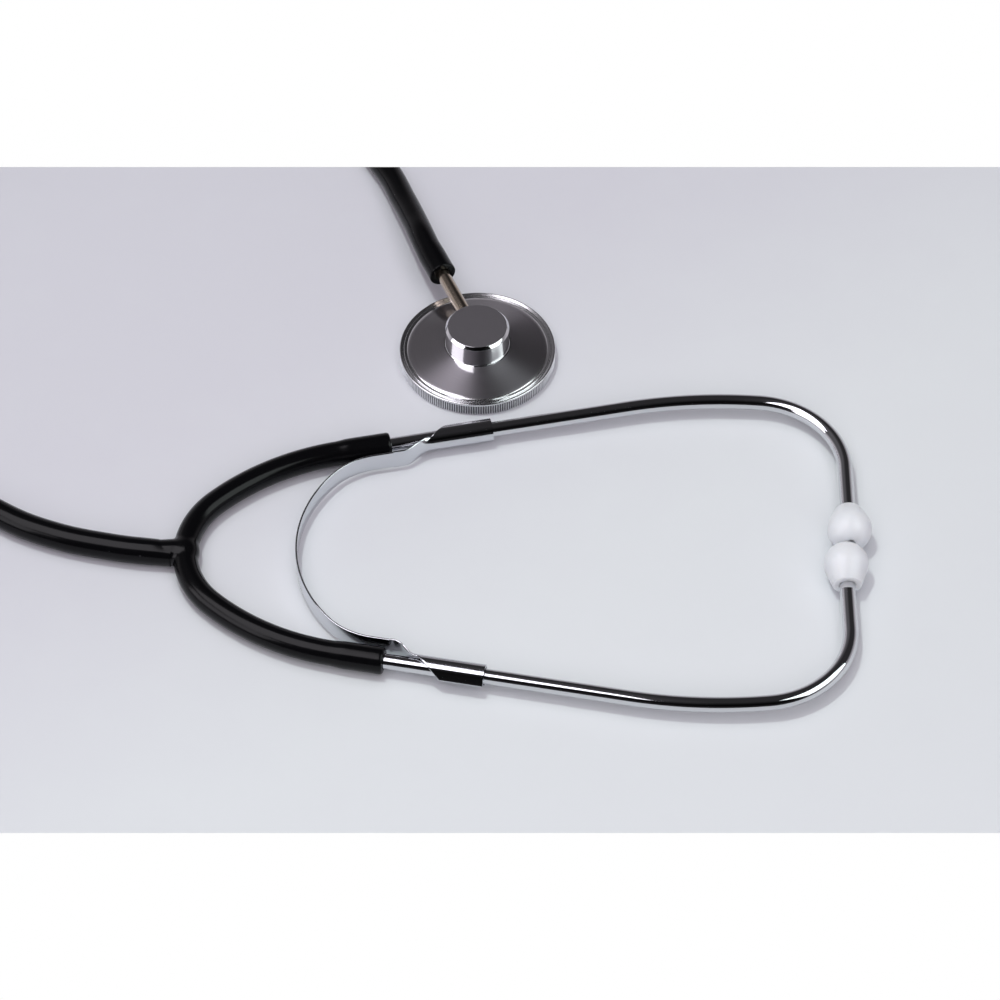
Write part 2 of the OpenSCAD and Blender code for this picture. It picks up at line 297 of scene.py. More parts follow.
def volume(verts, faces):
    """Volume inside closed faces, negative where they point inwards: a sixth of the sum of each
    triangle's triple product."""
    total = 0.0
    for f in faces:
        a = verts[f]
        for k in range(1, a.shape[1] - 1):
            total += np.einsum("ij,ij->", a[:, 0], np.cross(a[:, k], a[:, k + 1])) / 6
    return total


def piece(name, verts, faces, material, smooth_below=40):
    """New object from points in the frame and a list of face arrays, each closed shell facing outwards."""
    verts = verts.reshape(-1, 3)
    if volume(verts - verts.mean(0), faces) < 0:
        faces = [f[:, ::-1] for f in faces]
    mesh = bpy.data.meshes.new(name)
    mesh.from_pydata(verts.tolist(), [], [q for f in faces for q in f.tolist()])
    mesh.polygons.foreach_set("use_smooth", np.ones(len(mesh.polygons), bool))
    mesh.set_sharp_from_angle(angle=math.radians(smooth_below))
    mesh.validate()
    mesh.materials.append(material)
    obj = bpy.data.objects.new(name, mesh)
    bpy.context.collection.objects.link(obj)
    return obj


def capped(rows, cols):
    """Faces of a grid of closed rows with a flat face over the first and over the last row."""
    ends = np.arange(cols)
    return [grid_faces(rows, cols), np.stack([ends[::-1]]), np.stack([ends + (rows - 1) * cols])]


def merged(*shells):
    """Points and faces of several shells as one."""
    verts, faces, count = [], [], 0
    for v, fs in shells:
        v = v.reshape(-1, 3)
        if volume(v - v.mean(0), fs) < 0:
            fs = [f[:, ::-1] for f in fs]
        verts.append(v)
        faces += [f + count for f in fs]
        count += len(v)
    return np.vstack(verts), faces


def linear(hex_code):
    """sRGB hex colour as the linear values that a shader takes."""
    c = np.array([int(hex_code[i:i + 2], 16) / 255 for i in (0, 2, 4)])
    return (*np.where(c <= 0.04045, c / 12.92, ((c + 0.055) / 1.055) ** 2.4), 1.0)


def add(tree, kind, links=None, **settings):
    """New node: settings are its properties or the values of its inputs, links are input: (node, output)."""
    node = tree.nodes.new(kind)
    for key, value in settings.items():
        if key in node.bl_rna.properties:
            setattr(node, key, value)
        else:
            node.inputs[key.replace("_", " ")].default_value = value
    for key, (other, socket) in (links or {}).items():
        tree.links.new(other.outputs[socket], node.inputs[key])
    return node


def shader(name, **settings):
    """New material with one Principled shader; returns it with its tree and the shader."""
    material = bpy.data.materials.new(name)
    material.use_nodes = True
    tree = material.node_tree
    tree.nodes.clear()
    surface = add(tree, "ShaderNodeBsdfPrincipled", **settings)
    add(tree, "ShaderNodeOutputMaterial", {"Surface": (surface, "BSDF")})
    return material, tree, surface


def per_metre(size_mm):
    """Scale of a pattern on Object coordinates, from the size of one of its features."""
    return 1 / (size_mm * MM)


def black_vinyl():
    """Dip-moulded PVC: nearly black, a soft sheen that varies a little along it, a faint ripple of the
    skin, and a few grains of dust that cling to it."""
    m, t, s = shader("dipped_black_pvc", IOR=1.53, Specular_IOR_Level=0.15)
    at = add(t, "ShaderNodeTexCoord")
    blotch = add(t, "ShaderNodeTexNoise", {"Vector": (at, "Object")}, Scale=per_metre(9), Detail=3.0)
    sheen = add(t, "ShaderNodeMapRange", {"Value": (blotch, "Fac")}, To_Min=0.13, To_Max=0.2)
    skin = add(t, "ShaderNodeTexNoise", {"Vector": (at, "Object")}, Scale=per_metre(1.6), Detail=2.0)
    bump = add(t, "ShaderNodeBump", {"Height": (skin, "Fac")}, Strength=0.12, Distance=0.04 * MM)
    dust = add(t, "ShaderNodeTexVoronoi", {"Vector": (at, "Object")}, Scale=per_metre(5.5), Randomness=1.0)
    grain = add(t, "ShaderNodeMapRange", {"Value": (dust, "Distance")}, From_Min=0.02, From_Max=0.035,
                To_Min=1.0, To_Max=0.0)
    tint = add(t, "ShaderNodeMix", {"Factor": (grain, "Result")}, data_type="RGBA")
    tint.inputs["A"].default_value = linear("08080A")
    tint.inputs["B"].default_value = linear("4A4A4E")
    t.links.new(sheen.outputs["Result"], s.inputs["Roughness"])
    t.links.new(bump.outputs["Normal"], s.inputs["Normal"])
    t.links.new(tint.outputs["Result"], s.inputs["Base Color"])
    return m


def bright_plate(name, colour, rough, streak_mm, depth):
    """Plated and buffed metal: a mirror with buffing marks that only roughen it here and there.  Real marks
    are hair-fine; these are patches of streak_mm, as finer ones wouldn't show in the picture."""
    m, t, s = shader(name, Metallic=1.0, Base_Color=linear(colour))
    at = add(t, "ShaderNodeTexCoord")
    marks = add(t, "ShaderNodeTexNoise", {"Vector": (at, "Object")}, Scale=per_metre(streak_mm), Detail=4.0)
    haze = add(t, "ShaderNodeMapRange", {"Value": (marks, "Fac")}, From_Min=0.35, From_Max=0.75,
               To_Min=rough, To_Max=rough + depth)
    t.links.new(haze.outputs["Result"], s.inputs["Roughness"])
    return m


def turned_alloy(name, colour, rough, centre, pitch_mm):
    """Aluminium faced on a lathe and buffed: the fine rings round the middle spread light along the
    radius in faint fans, and the buffed skin over them mirrors the hub and the hose.  The rings are
    drawn coarser than a lathe leaves them, or they wouldn't show."""
    m, t, s = shader(name, Metallic=1.0, Anisotropic=0.8, Anisotropic_Rotation=0.25,
                     Coat_Weight=1.0, Coat_IOR=4.0, Coat_Roughness=0.1)
    at = add(t, "ShaderNodeTexCoord")
    middle = add(t, "ShaderNodeMapping", {"Vector": (at, "Object")}, Location=tuple(-centre))
    flat = add(t, "ShaderNodeVectorMath", {0: (middle, "Vector")}, operation="MULTIPLY")
    flat.inputs[1].default_value = (1, 1, 0)
    radius = add(t, "ShaderNodeVectorMath", {0: (flat, "Vector")}, operation="LENGTH")
    rings = add(t, "ShaderNodeTexNoise", {"W": (radius, "Value")}, noise_dimensions="1D",
                Scale=per_metre(pitch_mm), Detail=2.0)
    rough_by_ring = add(t, "ShaderNodeMapRange", {"Value": (rings, "Fac")}, From_Min=0.3, From_Max=0.7,
                        To_Min=rough - 0.03, To_Max=rough + 0.03)
    shade = add(t, "ShaderNodeMix", {"Factor": (rings, "Fac")}, data_type="RGBA")
    shade.inputs["A"].default_value = linear(colour[0])
    shade.inputs["B"].default_value = linear(colour[1])
    tangent = add(t, "ShaderNodeTangent", direction_type="RADIAL", axis="Z")
    t.links.new(rough_by_ring.outputs["Result"], s.inputs["Roughness"])
    t.links.new(shade.outputs["Result"], s.inputs["Base Color"])
    t.links.new(tangent.outputs["Tangent"], s.inputs["Tangent"])
    return m


def knurled_alloy(centre, top_r, depth):
    """Knurled aluminium: bright ribs, and painted shade that darkens the grooves between them."""
    m, t, s = shader("knurled_aluminium", Metallic=1.0, Roughness=0.28)
    at = add(t, "ShaderNodeTexCoord")
    middle = add(t, "ShaderNodeMapping", {"Vector": (at, "Object")}, Location=tuple(-centre))
    flat = add(t, "ShaderNodeVectorMath", {0: (middle, "Vector")}, operation="MULTIPLY")
    flat.inputs[1].default_value = (1, 1, 0)
    radius = add(t, "ShaderNodeVectorMath", {0: (flat, "Vector")}, operation="LENGTH")
    groove_shade_mask = add(t, "ShaderNodeMapRange", {"Value": (radius, "Value")}, From_Min=top_r - 0.75 * depth,
              From_Max=top_r - 0.35 * depth)
    shade = add(t, "ShaderNodeMix", {"Factor": (groove_shade_mask, "Result")}, data_type="RGBA")
    # painted shade: the darker colour down in the grooves, the bright one on the rib tops
    shade.inputs["A"].default_value = linear("6C6C70")
    shade.inputs["B"].default_value = linear("F0F0F2")
    t.links.new(shade.outputs["Result"], s.inputs["Base Color"])
    return m


def satin_alloy():
    """Aluminium with a blasted face: an even grey that only blurs what it mirrors.  Its grain is drawn
    about twice as coarse as the grit, so that it shows."""
    m, t, s = shader("fine_blasted_aluminium", Metallic=1.0, Base_Color=linear("8C898D"))
    at = add(t, "ShaderNodeTexCoord")
    grain = add(t, "ShaderNodeTexNoise", {"Vector": (at, "Object")}, Scale=per_metre(0.25), Detail=3.0)
    rough = add(t, "ShaderNodeMapRange", {"Value": (grain, "Fac")}, To_Min=0.48, To_Max=0.58)
    t.links.new(rough.outputs["Result"], s.inputs["Roughness"])
    return m


def milky_plastic():
    """Injection-moulded soft PVC: milky white, light goes some way in, a satin skin."""
    m, t, s = shader("moulded_milky_pvc", Base_Color=linear("E6E8ED"), IOR=1.5, Roughness=0.32,
                     Subsurface_Weight=1.0, Subsurface_Scale=0.005)
    s.inputs["Subsurface Radius"].default_value = (1.0, 0.95, 0.9)
    at = add(t, "ShaderNodeTexCoord")
    skin = add(t, "ShaderNodeTexNoise", {"Vector": (at, "Object")}, Scale=per_metre(1.1), Detail=2.0)
    bump = add(t, "ShaderNodeBump", {"Height": (skin, "Fac")}, Strength=0.1, Distance=0.03 * MM)
    t.links.new(bump.outputs["Normal"], s.inputs["Normal"])
    return m


def diaphragm_sheet():
    """Glass-filled epoxy sheet: off-white, with the square weave of the glass just showing.  A real weave
    is about half a millimetre; this one is drawn as 3 mm, or it wouldn't show.  A band of a wave
    texture is 2 pi / 20 of the length that its scale is worked out from."""
    m, t, s = shader("epoxy_glass_sheet", IOR=1.52, Roughness=0.3)
    at = add(t, "ShaderNodeTexCoord")
    weave = [add(t, "ShaderNodeTexWave", {"Vector": (at, "Object")}, bands_direction=d,
                 Scale=per_metre(10), Distortion=0.0) for d in ("X", "Y")]
    both = add(t, "ShaderNodeMath", {0: (weave[0], "Fac"), 1: (weave[1], "Fac")}, operation="MULTIPLY")
    shade = add(t, "ShaderNodeMix", {"Factor": (both, "Value")}, data_type="RGBA")
    shade.inputs["A"].default_value = linear("DEDED6")
    shade.inputs["B"].default_value = linear("E8E8E2")
    t.links.new(shade.outputs["Result"], s.inputs["Base Color"])
    return m


HEAD_AT = stand([HEAD[0], HEAD[1], 0.0])
vinyl = black_vinyl()
chrome = bright_plate("buffed_chrome_plate", "D2D3D6", 0.04, 0.9, 0.05)
strip_steel = bright_plate("rolled_nickel_strip", "CFD1D5", 0.05, 0.5, 0.05)
nickel = bright_plate("worn_nickel_plate", "BDB0A0", 0.14, 0.4, 0.1)
polished = bright_plate("polished_aluminium", "DADADC", 0.06, 0.7, 0.05)
rim_metal = bright_plate("rolled_aluminium_rim", "E0E0E2", 0.16, 6.0, 0.04)
knurled = knurled_alloy(HEAD_AT, HEAD_R * MM, RIB_DEPTH * MM)
satin = turned_alloy("lathe_turned_aluminium", ("98949A", "A29EA4"), 0.42, HEAD_AT, 0.35)
blasted = satin_alloy()
tip_plastic = milky_plastic()
membrane = diaphragm_sheet()

# Hose: from inside the root of the Y straight out, round its loop on the table and up to the stem.
STEM_DIR = np.array([math.cos(STEM_TURN), math.sin(STEM_TURN), 0.0])
STEM_SIDE = np.array([math.sin(STEM_TURN), -math.cos(STEM_TURN), 0.0])
STEM_AT = np.array([HEAD[0], HEAD[1], STEM_Z])
HOSE_ROUTE = np.array([
    [TRUNK_X, 0, HOSE_R], [-112, 2, HOSE_R], [-129, 6.5, HOSE_R], [-146, 15, HOSE_R],
    [-173, 36, HOSE_R], [-192, 66, HOSE_R], [-199, 100, HOSE_R], [-194, 135, HOSE_R],
    [-176, 166, HOSE_R], [-148, 187, HOSE_R], [-114, 196, HOSE_R], [-82, 195, HOSE_R],
    [-62, 189.5, HOSE_R], [-47, 178, HOSE_R],
    STEM_AT + 82 * STEM_DIR + 3 * STEM_SIDE - [0, 0, 5.7],
    STEM_AT + 66 * STEM_DIR + 2.4 * STEM_SIDE - [0, 0, 4],
    STEM_AT + 54 * STEM_DIR + 1.4 * STEM_SIDE - [0, 0, 2],
    STEM_AT + 46 * STEM_DIR + 0.5 * STEM_SIDE - [0, 0, 0.5],
    STEM_AT + 39 * STEM_DIR,
    STEM_AT + HOSE_START * STEM_DIR])
HOSE_STEPS = 16
HOSE_SIDES = 40
HOSE_STATIONS = 380
SINK = 4.0
STEM_SWELL = 0.2
LIP_ROOM = 1.2
LIP_EDGE = 0.3

hose_line = Line(curve(HOSE_ROUTE, HOSE_STEPS))


def hose_wall():
    """Section of the hose's wall as (s, r): it starts a little inside the Y, is stretched wider over
    the stem, ends in a square-cut lip, and goes back along the bore."""
    end = hose_line.length
    s = np.linspace(-SINK, end, HOSE_STATIONS)
    stem_end = end - (STEM_OUT - HOSE_START)
    swell = STEM_SWELL / (1 + np.exp(stem_end - s))
    r = HOSE_R + swell - 0.25 * np.clip(-s / SINK + 0.25, 0, 1)
    end_r = HOSE_R + STEM_SWELL
    lip = filleted([(end - 1, end_r, 0), (end, end_r, LIP_EDGE), (end, HOSE_BORE_R, LIP_EDGE),
                    (end - 1, HOSE_BORE_R, 0)])
    wall = np.c_[s, r][s < end - LIP_ROOM]
    back = s[::-2]
    back = back[back < end - LIP_ROOM]
    return np.vstack([wall, lip, np.c_[back, np.full(len(back), HOSE_BORE_R)]])


hose_section = hose_wall()
hose_points = tube(hose_line, hose_section[:, 0], hose_section[:, 1], HOSE_SIDES)
hose = piece("hose", stand(hose_points), [grid_faces(len(hose_section), HOSE_SIDES, loop=True)], vinyl)
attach(hose, "tubing")
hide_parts("main_tube")


def smaller(a, b, soft):
    """The smaller of two values, with the corner between them rounded over a width."""
    h = np.clip(0.5 + 0.5 * (b - a) / soft, 0, 1)
    return b + (a - b) * h - soft * h * (1 - h)


def larger(a, b, soft):
    """The larger of two values, rounded in the same way."""
    return -smaller(-a, -b, soft)


def ease(x, start, end):
    """Smooth step from 0 at start to 1 at end."""
    t = np.clip((x - start) / (end - start), 0, 1)
    return t * t * (3 - 2 * t)


LIP_ROUND = 0.9
FAR_ARM_MORE = 0.7
NOTCH_ROUND = 1.3
BLIND_BORE = 4.0
SOCKET_Y = 20


def arm_reach(plan, s):
    """Distance in the plan from the line of an arm: an arc at the root, the arm's own arc, a straight."""
    x, y = plan.T
    root = np.array([FORK_X + FORK_R, 0])
    a = np.clip(np.arctan2(y, root[0] - x), 0, FORK_TURN)
    on_root = root + FORK_R * np.stack([-np.cos(a), np.sin(a)], -1)
    b = np.clip(np.arctan2(y - ARM_C[1], x - ARM_C[0]), math.pi / 2 + SPLAY, math.pi - FORK_TURN)
    on_arm = ARM_C + ARM_BEND * np.stack([np.cos(b), np.sin(b)], -1)
    on_run = ARM_END + np.clip(s, SOCKET_IN, 3)[:, None] * ALONG
    return np.min([np.linalg.norm(plan - q, axis=1) for q in (on_root, on_arm, on_run)], axis=0)


def y_depth(p):
    """Distance of points from the skin of the Y, negative inside.  The arms are tubes that swell where the
    ear tube is inside; the trunk is a third tube, and the notch where they meet is rounded.  The arms
    end in a rounded lip with a blind bore; the far arm is pulled a little further over its tube."""
    x, y, z = p[:, 0], np.abs(p[:, 1]), p[:, 2]
    plan = np.stack([x, y], -1)
    s = (plan - ARM_END) @ ALONG
    on_socket = y > SOCKET_Y
    swell = ease(np.where(on_socket, s, -99), SOCKET_IN - 1.5, SOCKET_IN + 3)
    arms = np.hypot(arm_reach(plan, s), z) - (ARM_R + (SOCKET_R - ARM_R) * swell)
    taper = HOSE_R - 0.14 * ease(-x, -TRUNK_X - 4.5, -TRUNK_X)
    trunk = np.sqrt(y**2 + z**2 + np.maximum(x - FORK_X, 0) ** 2) - taper
    skin = smaller(arms, trunk, NOTCH_ROUND)
    skin = larger(skin, TRUNK_X - x, 0.2)
    end = s - FAR_ARM_MORE * (p[:, 1] > 0)
    skin = larger(skin, np.where(on_socket, end, -9), LIP_ROUND)
    off_axis = np.hypot((plan - ARM_END) @ OUTWARD, z)
    bore = np.maximum(off_axis - TUBE_R - FIT, np.where(on_socket, -BLIND_BORE - s, 9))
    return larger(skin, -bore, 0.3)


def cell_points(field, low, cell):
    """One point for each cell of the grid that the skin crosses: the mean of the crossings on the cell's
    edges.  Returns the points, and for each cell the number of its point, or -1."""
    n = np.array(field.shape)
    total, count = np.zeros((*(n - 1), 3)), np.zeros(n - 1)

    def at_corner(o):
        return field[tuple(slice(o[k], n[k] - 1 + o[k]) for k in range(3))]

    for o in np.ndindex(2, 2, 2):
        for k in range(3):
            if o[k]:
                continue
            way = np.eye(3, dtype=int)[k]
            here, there = at_corner(o), at_corner(o + way)
            cross = (here < 0) != (there < 0)
            t = np.where(cross, here / np.where(cross, here - there, 1), 0)
            total += cross[..., None] * (o + t[..., None] * way)
            count += cross
    used = count > 0
    number = np.full(n - 1, -1)
    number[used] = np.arange(used.sum())
    return low + cell * (np.argwhere(used) + total[used] / count[used][:, None]), number


def crossed_faces(inside, number):
    """One four-sided face for each edge of the grid that the skin crosses: the points of the four cells
    round that edge, turned to face outwards."""
    faces = []
    for k in range(3):
        i, j = (k + 1) % 3, (k + 2) % 3
        edge = np.argwhere(np.diff(inside, axis=k))
        rising = inside[tuple(edge.T)]
        ring = []
        for di, dj in ((-1, -1), (0, -1), (0, 0), (-1, 0)):
            c = edge.copy()
            c[:, i] += di
            c[:, j] += dj
            ring.append(number[tuple(c.T)])
        quad = np.stack(ring, -1)
        faces.append(np.where(rising[:, None], quad, quad[:, ::-1]))
    return np.vstack(faces)


def settled(points, faces, depth, rounds, h=0.02):
    """Points evened out and put back on the skin: in each round a point goes half way to the mean of its
    neighbours, then twice along the slope of depth to where depth is zero."""
    pairs = np.vstack([faces[:, [k, (k + 1) % 4]] for k in range(4)])
    degree = np.bincount(pairs[:, 0], minlength=len(points))[:, None]
    for _ in range(rounds):
        total = [np.bincount(pairs[:, 0], points[pairs[:, 1], k], len(points)) for k in range(3)]
        points = points + 0.5 * (np.stack(total, -1) / degree - points)
        for _ in range(2):
            slope = [(depth(points + h * e) - depth(points - h * e)) / (2 * h) for e in np.eye(3)]
            slope = np.stack(slope, -1)
            steep = np.maximum((slope**2).sum(-1), 0.2)
            points = points - (depth(points) / steep)[:, None] * slope
    return points


def skinned(depth, low, high, cell, rounds=6):
    """Closed skin where depth is zero, found on a grid of cells between two corners."""
    low, high = np.array(low, float), np.array(high, float)
    n = np.ceil((high - low) / cell).astype(int) + 1
    axes = [low[k] + cell * np.arange(n[k]) for k in range(3)]
    field = depth(np.stack(np.meshgrid(*axes, indexing="ij"), -1).reshape(-1, 3)).reshape(n)
    points, number = cell_points(field, low, cell)
    faces = crossed_faces(field < 0, number)
    return settled(points, faces, depth, rounds), faces


Y_CELL = 0.45
y_points, y_faces = skinned(y_depth, (TRUNK_X - 1, -50, -5), (ARM_END[0] + 3, 50, 5), Y_CELL)
y_tubing = piece("y_tubing_vinyl", lay(y_points), [y_faces], vinyl)
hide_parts("y_tubing")
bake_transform(y_tubing)


def half_and_mirror(half):
    """Line from the far end through the middle to the near end: a half and its mirror image."""
    return np.vstack([half[::-1], half[1:] * [1, -1, 1]])


def mirrored(points, side):
    """The far-side piece, or its mirror image on the near side."""
    return points * [1, side, 1]


SIDES = {"left": 1, "right": -1}
GRIPS = {"left": "tubing", "right": "right_grip"}
RUNS = {"left": FAR_RUN, "right": NEAR_RUN}

# Ear tubes: a bent tube on the far side and its mirror image on the near side
TUBE_START = SOCKET_IN + 0.75
TIP_DIR = np.array([0, -math.cos(TIP_RISE), math.sin(TIP_RISE)])
EAR_SIDES = 40
EAR_BORE_R = TUBE_R - TUBE_WALL


def tip_foot(hand):
    """Middle of the foot of an ear tip, drawn on the far side."""
    return np.array([bend_centre(RUNS[hand])[0] + BEND_R, SIDES[hand] * MEET_Y + FOOT_OUT, FOOT_Z])


def ear_line(hand):
    """Line of an ear tube: straight run, long bow, bend in the plan, then an upward bend into the tip."""
    run, foot = RUNS[hand], tip_foot(hand)
    a = np.linspace(0, TIP_RISE, 16)
    climb = [0 * a, math.sin(TIP_RISE) - np.sin(a), math.cos(TIP_RISE) - np.cos(a)]
    rising = foot + RISE_R * np.stack(climb, -1)
    return Line(np.vstack([
        level(ARM_END + TUBE_START * ALONG), level(ARM_END + run * ALONG),
        arc(bow_centre(run), BOW_R, math.pi / 2 + SPLAY, math.pi / 2 + LOW, 60)[1:],
        arc(bend_centre(run), BEND_R, math.pi / 2 + LOW, 0, 90)[1:],
        rising, [foot + TUBE_HOLD * TIP_DIR]]))


def ear_wall(line, run):
    """Section of the tube's wall as (s, r): few stations on the straight run, many on the bends."""
    turn = run - TUBE_START
    s = np.r_[np.linspace(0.15, turn, 24), np.linspace(turn, line.length - 0.15, 170)[1:]]
    back = s[::-3]
    return np.vstack([
        [(0, TUBE_R - 0.15)], np.c_[s, np.full(len(s), TUBE_R)],
        [(line.length, TUBE_R - 0.15), (line.length, EAR_BORE_R)],
        np.c_[back, np.full(len(back), EAR_BORE_R)], [(0, EAR_BORE_R)]])


for hand, side in SIDES.items():
    name = hand + "_ear_tube"
    line = ear_line(hand)
    wall = ear_wall(line, RUNS[hand])
    shape = mirrored(tube(line, wall[:, 0], wall[:, 1], EAR_SIDES), side)
    obj = piece(name + "_chrome", lay(shape), [grid_faces(len(wall), EAR_SIDES, loop=True)], chrome)
    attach(obj, name)
    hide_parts(name)

# Ear tips: an acorn with a sound hole, pushed over the tube
TIP_SPINS = 64
BALL_AT = TIP_L - TIP_R
SOCKET_TOP = TUBE_HOLD + 1.2
ball = np.linspace(-0.28, math.pi / 2 - TIP_HOLE_R / TIP_R - 0.06, 26)
tip_body = np.vstack([
    [(TIP_FOOT_R - 0.5, 0.0), (TIP_FOOT_R - 0.15, 0.12), (TIP_FOOT_R, 0.5)],
    np.c_[TIP_R * np.cos(ball), BALL_AT + TIP_R * np.sin(ball)],
    filleted([(TIP_HOLE_R + 0.3, TIP_L, 0), (TIP_HOLE_R, TIP_L - 0.25, 0.2), (TIP_HOLE_R, SOCKET_TOP, 0)], 3),
    [(TUBE_R + FIT, SOCKET_TOP), (TUBE_R + FIT, 0.4), (TUBE_R + 0.35, 0.0)]])


def tip_shape(hand):
    """The acorn is spun about Z, then its axis is laid from the foot along the rising end of the tube."""
    p = spun(tip_body, TIP_SPINS)
    above = np.array([0, math.sin(TIP_RISE), math.cos(TIP_RISE)])
    shape = tip_foot(hand) + p[..., :1] * [1.0, 0, 0] + p[..., 1:2] * above + p[..., 2:] * TIP_DIR
    return mirrored(shape, SIDES[hand])


for hand in SIDES:
    name = hand + "_ear_tip"
    faces = [grid_faces(len(tip_body), TIP_SPINS, loop=True)]
    obj = piece(name + "_pvc", lay(tip_shape(hand)), faces, tip_plastic)
    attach(obj, name)
    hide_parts(name)

# Spring strip: a flat strip on edge, bent in plan
strip_half = np.vstack([
    arc((STRIP_X + STRIP_R, 0), STRIP_R, math.pi, math.pi - STRIP_TURN, 40),
    arc(STRIP_C2, STRIP_R2, math.pi - STRIP_TURN, math.pi / 2 + SPLAY, 30)[1:],
    level(STRIP_LINE + STRIP_END * ALONG)])
strip_path = Line(half_and_mirror(strip_half))
EDGE_ROUND = 0.2


def strip_loop(n=3):
    """Section of the strip as (across, up): a tall thin rectangle with rounded edges."""
    w, t = STRIP_W / 2, STRIP_T / 2
    edges = [(x, y, EDGE_ROUND) for x, y in ((t, w), (-t, w), (-t, -w), (t, -w))]
    return filleted([(t, 0, 0), *edges, (t, -0.5, 0)], n)


strip_section = strip_loop()
strip_s = np.linspace(0, strip_path.length, 150)
strip_points = carried(strip_path, strip_s, *(np.tile(v, (len(strip_s), 1)) for v in strip_section.T))
strip = piece("spring_strip_steel", lay(strip_points), capped(len(strip_s), len(strip_section)), strip_steel)
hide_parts("spring_strip")
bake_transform(strip)

# Sleeves: the strip steps in beside the tube, widens and is rolled twice round it.  The distances
# along the tube differ a little from side to side.
ROLL_R = SLEEVE_R - STRIP_T / 2
STEP = {"left": (3.4, 12.4), "right": (1.4, 8.6)}
MOUTH = {"left": (12.8, 21.4), "right": (9.2, 16.8)}
SLEEVE_END = {"left": SLEEVE_OUT + 1.2, "right": SLEEVE_OUT - 0.8}
OVER = math.radians(184)
UNDER = math.radians(100)
FLAP = math.radians(140)
run_path = Line(np.vstack([level(ARM_END), level(ARM_END + 2 * SLEEVE_OUT * ALONG)]))


def sheet_loop(n=44, m=4):
    """Section of the sheet as (turn, skin): turn runs from -1 at the lower edge to 1 at the upper edge,
    skin from -1 inside to 1 outside, and edge is how far a rounded edge bulges past its end."""
    half = np.linspace(-1, 1, n)
    a = np.linspace(math.pi / 2, -math.pi / 2, m + 2)[1:-1]
    turn = np.r_[half, np.ones(m), half[::-1], -np.ones(m)]
    skin = np.r_[np.ones(n), np.sin(a), -np.ones(n), -np.sin(a)]
    edge = np.r_[np.zeros(n), np.cos(a), np.zeros(n), -np.cos(a)]
    return turn, skin, edge


def sleeve_sheet(hand):
    """The sheet is a function of s along the tube and of the turn across the strip.  Its section is an
    arc of curvature k, its middle at the offset beside the tube: the offset steps in to the roll's radius
    while k grows from flat to the roll.  The reach up and down from the middle grows from the strip's
    half width to the full turn, further over the top than from below, which gives the slanted mouth.
    Past the angle FLAP the sheet runs straight on, as a flap that isn't pressed round the tube."""
    step_from, step_to = STEP[hand]
    mouth_from, mouth_to = MOUTH[hand]
    s = np.unique(np.r_[np.linspace(STRIP_END, mouth_to, 90), np.linspace(mouth_to, SLEEVE_END[hand], 24)])
    turn, skin, edge = sheet_loop()
    offset = STRIP_OFF + (ROLL_R - STRIP_OFF) * ease(s, step_from, step_to)[:, None]
    k = np.maximum(ease(s, step_from + 1.5, step_to + 0.5)[:, None], 1e-3) / ROLL_R
    grow = np.clip((s - mouth_from) / (mouth_to - mouth_from), 0, 1)[:, None]
    half = STRIP_W / 2
    reach = half + (np.where(turn > 0, OVER, UNDER) * ROLL_R - half) * grow
    a = k * (reach * turn + edge * STRIP_T / 2)
    r = 1 / k + skin * STRIP_T / 2
    bent = np.minimum(a, FLAP)
    past = (a - bent) / k
    across = -offset + 1 / k - r * np.cos(bent) + past * np.sin(bent)
    return carried(run_path, s, across, r * np.sin(bent) + past * np.cos(bent)), capped(len(s), len(turn))


def sleeve_lining(hand):
    """The inner turn of the roll: a tube between the ear tube and the outer turn."""
    inner, outer = TUBE_R + FIT, ROLL_R - STRIP_T / 2
    out = np.linspace(MOUTH[hand][1] - 1, SLEEVE_END[hand] - 0.2, 8)
    s = np.r_[out, out[::-1]]
    r = np.r_[np.full(len(out), outer), np.full(len(out), inner)]
    return tube(run_path, s, r, EAR_SIDES), [grid_faces(len(s), EAR_SIDES, loop=True)]


for hand, side in SIDES.items():
    verts, faces = merged(sleeve_sheet(hand), sleeve_lining(hand))
    obj = piece(hand + "_sleeve_rolled", lay(mirrored(verts, side)), faces, strip_steel)
    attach(obj, GRIPS[hand])
    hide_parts(hand + "_sleeve")


def on_head(p):
    """Points drawn round the axis of the chestpiece, where it stands."""
    return stand(p + [HEAD[0], HEAD[1], 0.0])


def with_poles(rows, cols):
    """Faces of a spun section whose first and last rings are closed by a fan to a middle point."""
    ring = np.arange(cols)
    nxt = np.roll(ring, -1)
    first, last = rows * cols, rows * cols + 1
    top = (rows - 1) * cols
    return [grid_faces(rows, cols), np.stack([nxt, ring, np.full(cols, first)], -1),
            np.stack([ring + top, nxt + top, np.full(cols, last)], -1)]


# Chestpiece: satin disc that falls from the hub to a double bead at the rim, polished hub
HEAD_SPINS = 192
COLLAR_Z = RING_LIP + DIAPHRAGM_T
DISC_OUT = HEAD_R - 2.6
DISC_IN = HUB_R + 0.5
DISC_LOW = RIM_Z + 0.1
CROWN_R = HUB_R - 1.2
POLE_R = 0.8
POLISHED, SATIN, BLASTED, ROLLED = range(4)
under = [
    (1.0, COLLAR_Z + 2.2), (COLLAR_R - 3, COLLAR_Z + 0.9), (COLLAR_R - 2, COLLAR_Z),
    (COLLAR_R, COLLAR_Z), (COLLAR_R, RING_H)]
rim = filleted([
    (COLLAR_R, RING_H, 0), (HEAD_R, RING_H, 0.2), (HEAD_R, RIM_Z, 0.3), (HEAD_R - 0.4, RIM_Z, 0.2),
    (HEAD_R - 1.15, RIM_Z - 0.28, 0.06), (HEAD_R - 1.3, RIM_Z - 0.28, 0.06),
    (HEAD_R - 1.4, RIM_Z + 0.05, 0.12), (HEAD_R - 1.6, RIM_Z + 0.05, 0.1),
    (HEAD_R - 2.25, RIM_Z - 0.15, 0.08), (DISC_OUT, DISC_LOW, 0)], 6)
